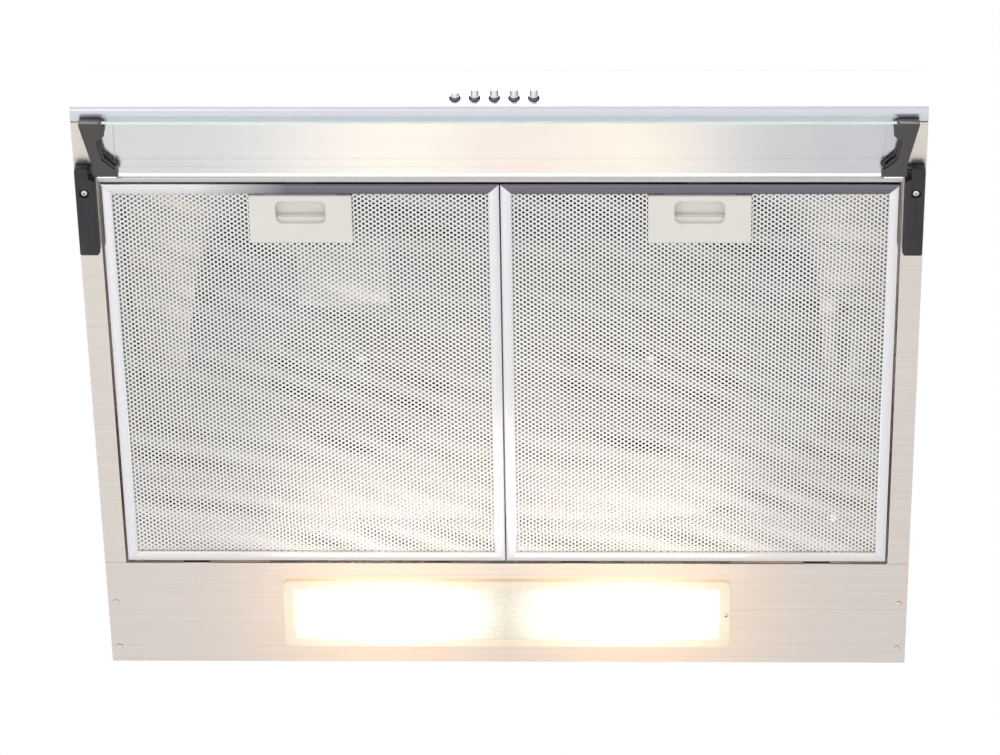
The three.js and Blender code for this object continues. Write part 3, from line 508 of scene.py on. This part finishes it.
def add_piece(name, vertices, faces, looks, body):
    """A piece from vertices in metres; looks is one material or a list."""
    data = bpy.data.meshes.new(name)
    data.from_pydata([tuple(v) for v in vertices], [], faces)
    for look in looks if isinstance(looks, (list, tuple)) else [looks]:
        data.materials.append(look)
    data.update()
    return place_piece(name, data, body)


def place_piece(name, data, body):
    """An object from a mesh, riding on a CAD body."""
    piece = bpy.data.objects.new(name, data)
    bpy.context.scene.collection.objects.link(piece)
    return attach(piece, body)


def turned_piece(name, profile, axis, place, look, body, ring=False):
    """A solid of revolution, or a ring; profile gives (radius, distance along the axis) in mm."""
    vertices, faces = [], []
    for radius, along in profile:
        for k in range(SEGMENTS):
            angle = 2 * math.pi * k / SEGMENTS
            u, v = radius * math.cos(angle), radius * math.sin(angle)
            point = (v, along, u) if axis == "Y" else (u, v, along)
            vertices.append(Vector(place) + Vector(point) * MM)
    count = len(profile)
    for j in range(count if ring else count - 1):
        m = (j + 1) % count
        for k in range(SEGMENTS):
            n = (k + 1) % SEGMENTS
            faces.append((j * SEGMENTS + k, j * SEGMENTS + n, m * SEGMENTS + n, m * SEGMENTS + k))
    if not ring:
        faces.append(tuple(reversed(range(SEGMENTS))))
        faces.append(tuple(range((count - 1) * SEGMENTS, count * SEGMENTS)))
    piece = add_piece(name, vertices, faces, look, body)
    return shade_sharp(piece, TURNED_SHARP)


def shade_sharp(piece, angle):
    """Smooth shading, except over edges sharper than the angle in degrees."""
    for polygon in piece.data.polygons:
        polygon.use_smooth = True
    piece.data.set_sharp_from_angle(angle=math.radians(angle))
    return piece


def welded_copy(node, name):
    """A copy of a CAD node's mesh with its vertices merged, for cutting detail into."""
    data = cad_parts[node].data.copy()
    data.name = name
    data.materials.clear()
    work = bmesh.new()
    work.from_mesh(data)
    bmesh.ops.remove_doubles(work, verts=work.verts, dist=WELD)
    bmesh.ops.dissolve_limit(work, angle_limit=0.01, verts=work.verts, edges=work.edges)
    work.to_mesh(data)
    work.free()
    return data


def prism_mesh(outline, low, high, place=lambda x, y, z: (x, y, z)):
    """A closed prism over an outline in mm; place turns (x, y, z) into the row's axes."""
    work = bmesh.new()
    rings = [[work.verts.new(Vector(place(x, y, z)) * MM) for x, y in outline] for z in (low, high)]
    count = len(outline)
    work.faces.new(rings[0])
    work.faces.new(list(reversed(rings[1])))
    for k in range(count):
        n = (k + 1) % count
        work.faces.new((rings[0][k], rings[1][k], rings[1][n], rings[0][n]))
    bmesh.ops.recalc_face_normals(work, faces=work.faces)
    data = bpy.data.meshes.new("tool")
    work.to_mesh(data)
    work.free()
    return data


def cut_away(piece, tools):
    """Cuts each tool mesh out of the piece, for good."""
    for data in tools:
        tool = bpy.data.objects.new("tool", data)
        bpy.context.scene.collection.objects.link(tool)
        step = piece.modifiers.new("cut", "BOOLEAN")
        step.operation = "DIFFERENCE"
        step.solver = "EXACT"
        step.object = tool
        bpy.context.view_layer.objects.active = piece
        bpy.ops.object.modifier_apply(modifier=step.name)
        bpy.data.objects.remove(tool)


# Filters: mesh pack in a mitred aluminium frame

MESH_PITCH = (5.2 * MM, 3.9 * MM)
HOLE = (1.15 * MM, 0.86 * MM)  # half the front sheet's opening


def expanded_sheet(x_range, y_range, skip, height, pitch, hole, turn, wave, tilt):
    """Half-offset rows of six-sided openings between twisted strands; returns vertices and faces."""
    across, along = pitch
    centre = np.array([sum(x_range) / 2, sum(y_range) / 2])
    reach = math.hypot(x_range[1] - x_range[0], y_range[1] - y_range[0]) / 2 + along
    rows = np.arange(-int(2 * reach / along), int(2 * reach / along) + 1)
    columns = np.arange(-int(reach / across), int(reach / across) + 1)
    row, column = np.meshgrid(rows, columns)
    row, column = row.ravel(), column.ravel()
    x = (column + 0.5 * (row % 2)) * across
    y = row * along / 2
    corner_x = (across**2 + along**2) / (4 * across)
    shoulder_x = (across**2 - along**2) / (4 * across)
    outer = [
        [corner_x, 0], [shoulder_x, along / 2], [-shoulder_x, along / 2],
        [-corner_x, 0], [-shoulder_x, -along / 2], [shoulder_x, -along / 2],
    ]
    flat = hole[0] * 0.55
    inner = [
        [hole[0], 0], [flat, hole[1]], [-flat, hole[1]],
        [-hole[0], 0], [-flat, -hole[1]], [flat, -hole[1]],
    ]
    cell = np.array(outer + inner)
    points = np.stack([x, y], 1)[:, None, :] + cell[None, :, :]
    warp_x = 0.0006 * np.sin(points[..., 1] * 29 + points[..., 0] * 9)
    warp_y = 0.0009 * np.sin(points[..., 0] * 21 - points[..., 1] * 13) if turn else 0
    lift = np.zeros(12)
    lift[6:] = tilt * cell[6:, 1] / hole[1]
    swell = np.sin(points[..., 0] * 31 + points[..., 1] * 17)
    ripple = np.sin(points[..., 1] * 43 - points[..., 0] * 11)
    sag = wave * (swell + 0.6 * ripple)
    cosine, sine = math.cos(turn), math.sin(turn)
    sheet_x = points[..., 0] + (warp_x if turn else 0)
    sheet_y = points[..., 1] + warp_y
    turned = np.stack(
        [
            centre[0] + cosine * sheet_x - sine * sheet_y,
            centre[1] + sine * sheet_x + cosine * sheet_y,
            np.broadcast_to(lift, sheet_x.shape) + sag + height,
        ],
        -1,
    )
    inside = (
        (turned[..., 0] > x_range[0]) & (turned[..., 0] < x_range[1])
        & (turned[..., 1] > y_range[0]) & (turned[..., 1] < y_range[1])
    ).all(1)
    (skip_x0, skip_y0), (skip_x1, skip_y1) = skip
    hidden = (
        (turned[..., 0] > skip_x0) & (turned[..., 0] < skip_x1)
        & (turned[..., 1] > skip_y0) & (turned[..., 1] < skip_y1)
    ).all(1)
    turned = turned[inside & ~hidden]
    ring = np.array([[i, (i + 1) % 6, 6 + (i + 1) % 6, 6 + i] for i in range(6)])
    faces = (np.arange(len(turned))[:, None, None] * 12 + ring[None, :, ::-1]).reshape(-1, 4)
    return turned.reshape(-1, 3), faces


def filter_pack(side):
    """Three expanded sheets; the second is turned a little, which gives the streaks seen from below."""
    low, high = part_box(f"filter_mesh_{side}")
    handle_low, handle_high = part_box(f"filter_handle_{side}")
    skip = ((handle_low.x, handle_low.y + 0.001), (handle_high.x, handle_high.y))
    x_range = (low.x + 0.001, high.x - 0.001)
    y_range = (low.y + 0.001, high.y - 0.001)
    inner_pitch = (MESH_PITCH[0], MESH_PITCH[1] * 0.865)
    # Height, pitch, half opening, turn, wave and tilt of each sheet
    layers = [
        (low.z + 0.0005, MESH_PITCH, HOLE, 0.0, 0.00004, -0.0002),
        (low.z + 0.0016, inner_pitch, (0.0015, 0.00118), 0.045, 0.0003, 0.0002),
        (high.z - 0.0005, MESH_PITCH, (0.00175, 0.0016), 0.0, 0.0001, 0.0002),
    ]
    vertices, faces, counts, start = [], [], [], 0
    for height, pitch, hole, turn, wave, tilt in layers:
        points, quads = expanded_sheet(x_range, y_range, skip, height, pitch, hole, turn, wave, tilt)
        vertices.append(points)
        faces.append(quads + start)
        counts.append(len(quads))
        start += len(points)
    piece = add_piece(
        f"filter_mesh_pack_{side}",
        np.vstack(vertices).tolist(),
        np.vstack(faces).tolist(),
        [MESH_FRONT, MESH_INNER_SHADED],
        f"filter_{side}",
    )
    inner = np.zeros(sum(counts), dtype=np.int32)
    inner[counts[0] :] = 1
    piece.data.polygons.foreach_set("material_index", inner)
    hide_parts(f"filter_mesh_{side}")


# Section of a frame member: distance in from the outer edge, and height over the lower face, in mm
MEMBER_SECTION = [
    (0.25, 8.9), (0, 8.6), (0, 1.3), (0.2, 0.6), (0.6, 0.2), (1.3, 0), (4.2, 0.02), (6.9, 0.16),
    (7.6, 0.38), (8.0, 0.8), (8.2, 1.3), (7.9, 1.45), (1.1, 1.3), (1.1, 7.9), (8.2, 7.9), (8.2, 8.8),
    (8.1, 9.0), (0.5, 9.0),
]
# Metres
MITRE_GAP = 0.00007
HALF_SEAM, FRAME_REACH = 0.0003, 0.2827  # a frame's inner and outer edge from the hood's middle
REAR_REACH = 0.0016  # from the mesh to the frame's rear edge
FACE_FROM, FRONT_WIDER = 0.0065, 0.0007  # the front member is wider past FACE_FROM
TAB_X, TAB_HEIGHTS = 0.09, (0.0024, 0.0036)


def filter_frame(side, sign):
    """Four mitred members and the two tabs that hook over the light panel's edge."""
    x0, x1 = sorted((sign * HALF_SEAM, sign * FRAME_REACH))
    low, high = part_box(f"filter_frame_{side}")
    y0 = low.y
    y1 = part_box(f"filter_mesh_{side}")[1].y + REAR_REACH
    section = [(u * MM, z * MM) for u, z in MEMBER_SECTION]
    vertices, faces, looks = [], [], []

    def prism(count, look):
        """Walls and ends between the last two outlines of count vertices; look is a material's index."""
        base = len(vertices) - 2 * count
        for k in range(count):
            n = (k + 1) % count
            faces.append((base + k, base + n, base + count + n, base + count + k))
        faces.append(tuple(base + k for k in reversed(range(count))))
        faces.append(tuple(base + count + k for k in range(count)))
        looks.extend([look] * (count + 2))

    def member(start, end, inward, look, wider=0.0):
        """From start to end, two outer corners; inward points into the filter."""
        along = (Vector(end) - Vector(start)).normalized()
        for corner, direction in ((Vector(start), along), (Vector(end), -along)):
            for u, z in section:
                u += wider if u > FACE_FROM else 0
                point = corner + Vector(inward) * u + direction * (u + MITRE_GAP)
                vertices.append((point.x, point.y, low.z + z))
        prism(len(section), look)

    member((x0, y0), (x1, y0), (0, 1), 2, FRONT_WIDER)
    member((x1, y0), (x1, y1), (-1, 0), 1)
    member((x1, y1), (x0, y1), (0, -1), 0)
    member((x0, y1), (x0, y0), (1, 0), 1)
    tab = [
        (-0.01, y1 - 0.0005), (0.01, y1 - 0.0005), (0.01, y1 + 0.005),
        (0.008, high.y), (-0.008, high.y), (-0.01, y1 + 0.005),
    ]
    for offset in (-TAB_X, TAB_X):
        for height in TAB_HEIGHTS:
            vertices.extend(((x0 + x1) / 2 + offset + dx, y, low.z + height) for dx, y in tab)
        prism(len(tab), 0)
    piece = add_piece(
        f"filter_frame_mitred_{side}",
        vertices,
        faces,
        [FRAME_X, FRAME_Y, FRAME_FRONT],
        f"filter_{side}",
    )
    work = bmesh.new()
    work.from_mesh(piece.data)
    bmesh.ops.recalc_face_normals(work, faces=work.faces)
    work.to_mesh(piece.data)
    work.free()
    piece.data.polygons.foreach_set("material_index", looks)
    shade_sharp(piece, 40)
    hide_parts(f"filter_frame_{side}")


# Visor


def rounded_outline(x0, x1, y0, y1, radius, steps=4):
    """A rectangle with rounded corners, anticlockwise."""
    points = []
    for cx, cy, start in (
        (x1 - radius, y1 - radius, 0), (x0 + radius, y1 - radius, 90),
        (x0 + radius, y0 + radius, 180), (x1 - radius, y0 + radius, 270),
    ):
        for k in range(steps + 1):
            angle = math.radians(start + 90 * k / steps)
            points.append((cx + radius * math.cos(angle), cy + radius * math.sin(angle)))
    return points


def visor_glass():
    """The pane, with rounded corners and a green front edge."""
    low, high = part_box("visor_glass")
    outline = rounded_outline(*(v / MM for v in (low.x, high.x, low.y, high.y)), 1.5)
    data = prism_mesh(outline, low.z / MM, high.z / MM)
    data.materials.append(GLASS)
    data.materials.append(GLASS_EDGE)
    piece = place_piece("visor_pane", data, "visor")
    for polygon in data.polygons:
        polygon.material_index = 1 if polygon.normal.y < -0.5 else 0
    soften(piece, 0.4)
    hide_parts("visor_glass")


# The arm's lower step beside its neck, seen from below on the right-hand side, in mm
ARM_STEP = [
    (282.0, -227.5), (278.9, -211.8), (270.7, -203.9), (264.0, -203.9), (264.0, -212.0), (274.0, -222.0),
    (276.5, -228.6), (281.2, -229.0),
]


def visor_arm(side, sign):
    """The CAD's arm, with its lower step cut in."""
    data = welded_copy(f"visor_arm_{side}", f"visor_arm_ribbed_{side}")
    data.materials.append(ARM)
    piece = place_piece(data.name, data, "visor")
    step = prism_mesh([(sign * x, y) for x, y in ARM_STEP], -150, -141.6)
    cut_away(piece, [step])
    soften(piece, 0.45, angle=30)
    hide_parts(f"visor_arm_{side}")


def visor_bracket(side, sign):
    """The CAD's bracket, with its lower inner edge cut to a slope."""
    data = welded_copy(f"visor_bracket_{side}", f"visor_bracket_moulded_{side}")
    data.materials.append(BLACK)
    piece = place_piece(data.name, data, "hood")
    slope = [(sign * x, z) for x, z in ((284.0, -144.6), (288.2, -144.6), (284.0, -140.4))]
    cut_away(piece, [prism_mesh(slope, -192.6, -125, lambda x, y, z: (x, z, y))])
    soften(piece, 0.5, angle=30)
    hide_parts(f"visor_bracket_{side}")


# Fasteners and buttons


def recessed_head(name, node, radius, height, look, body, recess):
    """A pan head, with a six-sided recess if asked, on the lower side of a sheet."""
    low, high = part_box(node)
    seat = low.z + height * MM
    place = ((low.x + high.x) / 2, (low.y + high.y) / 2, seat)
    shank = radius * 0.45
    profile = [
        (TIP, -height), (radius * 0.5, -height), (radius * 0.74, -height * 0.86),
        (radius * 0.92, -height * 0.5), (radius, -height * 0.12), (radius, 0),
        (shank, 0), (shank, (high.z - seat) / MM),
    ]
    piece = turned_piece(name, profile, "Z", place, look, body)
    if recess:
        x, y = place[0] / MM, place[1] / MM
        foot = low.z / MM
        corners = [(math.cos(k * math.pi / 3), math.sin(k * math.pi / 3)) for k in range(6)]
        reach = radius * 0.36
        socket = [(x + reach * u, y + reach * v) for u, v in corners]
        cut_away(piece, [prism_mesh(socket, foot - 1, foot + height * 2)])
        piece.data.set_sharp_from_angle(angle=math.radians(TURNED_SHARP))
    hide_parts(node)


def round_fit(box):
    """From the box of a round node along Y: where it starts, and its radius and length in mm."""
    low, high = box
    place = ((low.x + high.x) / 2, low.y, (low.z + high.z) / 2)
    return place, (high.x - low.x) / 2 / MM, (high.y - low.y) / MM


def push_button(number):
    place, radius, length = round_fit(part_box(f"push_button_{number}"))
    profile = [
        (TIP, 0.35), (radius * 0.5, 0.2), (radius - 0.75, 0.0), (radius - 0.3, 0.12), (radius - 0.06, 0.45),
        (radius, 0.9), (radius, length),
    ]
    piece = turned_piece(f"chrome_button_{number}", profile, "Y", place, CHROME, f"button_{number}")
    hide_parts(f"push_button_{number}")


def button_ring(number):
    place, outer, depth = round_fit(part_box(f"button_ring_{number}"))
    bore = 3.5
    profile = [
        (bore, depth), (bore, 0.25), (bore + 0.12, 0.05), (bore + 0.3, 0.0), (outer - 0.3, 0.5),
        (outer - 0.08, 0.85), (outer, 1.1), (outer, 1.3), (bore + 0.4, 1.3), (bore + 0.4, depth),
    ]
    piece = turned_piece(f"chrome_ring_{number}", profile, "Y", place, RING_PAINTED_DARK, "hood", ring=True)
    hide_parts(f"button_ring_{number}")


visor_glass()
for side, sign in SIDES:
    filter_pack(side)
    filter_frame(side, sign)
    visor_arm(side, sign)
    visor_bracket(side, sign)
    recessed_head(f"bracket_screw_head_{side}", f"bracket_screw_{side}", 2.66, 1.5, SCREW, "hood", True)
    for number in (1, 2):
        recessed_head(
            f"rivet_head_{side}_{number}", f"panel_rivet_{side}_{number}", 2.28, 0.9, STEEL, "hood", False
        )
recessed_head("lens_screw_head", "lens_screw", 1.9, 1.1, SCREW, "hood", True)
for number in range(1, 6):
    push_button(number)
    button_ring(number)

# ---------------------------------------------------------------------------------------------
# Stage and light

FLOOR_Z, FLOOR_REACH = -4.2, 40.0
GLOW_FROM, GLOW_TO = 9, 18  # metres from the hood


def stage_floor():
    """A pale floor under the hood that glows white far away, which hides its horizon."""
    shader = Shader("floor", (0.9, 0.9, 0.9), 0.0, 0.9)
    shader.to("Roughness", shader.spread(shader.noise(2.0), 0.85, 0.95))
    away = shader.node("ShaderNodeVectorMath", {"Vector": shader.place}, operation="LENGTH").outputs["Value"]
    shader.glow(shader.spread(away, 0, 0.36, GLOW_FROM, GLOW_TO), (1.0, 1.0, 1.0))
    data = bpy.data.meshes.new("floor")
    corners = [(x * FLOOR_REACH, y * FLOOR_REACH, FLOOR_Z) for x, y in ((-1, -1), (1, -1), (1, 1), (-1, 1))]
    data.from_pydata(corners, [], [(0, 1, 2, 3)])
    data.materials.append(shader.material)
    floor = bpy.data.objects.new("floor", data)
    bpy.context.scene.collection.objects.link(floor)


def area_light(name, place, target, size, power, color=(1, 1, 1), seen=True):
    """A rectangle of light at place, facing target; size in metres, power in watts."""
    data = bpy.data.lights.new(name, "AREA")
    data.shape = "RECTANGLE"
    data.size, data.size_y = size
    data.energy = power
    data.color = color
    light = bpy.data.objects.new(name, data)
    light.location = place
    light.rotation_euler = (Vector(target) - Vector(place)).to_track_quat("-Z", "Y").to_euler()
    light.visible_camera = seen
    bpy.context.scene.collection.objects.link(light)


def set_world():
    """White to the camera; as a light, bright from the left and dimmer towards the right."""
    world = bpy.data.worlds.new("studio")
    bpy.context.scene.world = world
    world.use_nodes = True
    tree = world.node_tree
    background = tree.nodes["Background"]
    place = tree.nodes.new("ShaderNodeTexCoord").outputs["Generated"]
    parts = tree.nodes.new("ShaderNodeSeparateXYZ")
    tree.links.new(place, parts.inputs["Vector"])
    ramp = tree.nodes.new("ShaderNodeMapRange")
    ramp.interpolation_type = "SMOOTHSTEP"
    for socket, value in (("From Min", -0.35), ("From Max", 0.75), ("To Min", 1.0), ("To Max", 0.25)):
        ramp.inputs[socket].default_value = value
    tree.links.new(parts.outputs["X"], ramp.inputs["Value"])
    eye = tree.nodes.new("ShaderNodeLightPath").outputs["Is Camera Ray"]
    share = tree.nodes.new("ShaderNodeMix")
    tree.links.new(eye, share.inputs["Factor"])
    tree.links.new(ramp.outputs["Result"], share.inputs["A"])
    share.inputs["B"].default_value = 1.0
    tree.links.new(share.outputs["Result"], background.inputs["Strength"])
    background.inputs["Color"].default_value = (1.0, 1.0, 1.0, 1)


stage_floor()
set_world()
# The room
area_light("fascia", (0, -4.0, 3.5), (0, -0.25, -0.1), (6, 3), 260)
area_light("key", (-1.2, -2.2, -2.6), (0, 0, -0.13), (1.6, 1.2), 6)
area_light("floor_wash", (-1.0, 1.9, -2.6), (-1.0, 2.1, FLOOR_Z), (1.4, 0.8), 7)
# The lamps' spill: behind the mesh, on the mesh and along the front panel
area_light("inside", (0, 0, -0.121), (0, 0, 0), (0.54, 0.3), 0.36, (1.0, 0.97, 0.92), seen=False)
area_light("mesh_wash", (0, 0.19, -0.27), (0, 0.19, 0), (0.36, 0.1), 0.08, (1.0, 0.88, 0.72), seen=False)
for side, sign in SIDES:
    lamp = (sign * LAMP_X, 0.153, -0.118)
    ahead = (sign * LAMP_X, 0.0, -0.135)
    area_light(f"lamp_spill_{side}", lamp, ahead, (0.14, 0.012), 0.2, (1.0, 0.86, 0.66), seen=False)

bpy.context.scene.view_settings.view_transform = "Standard"
bpy.context.scene.view_settings.look = "None"
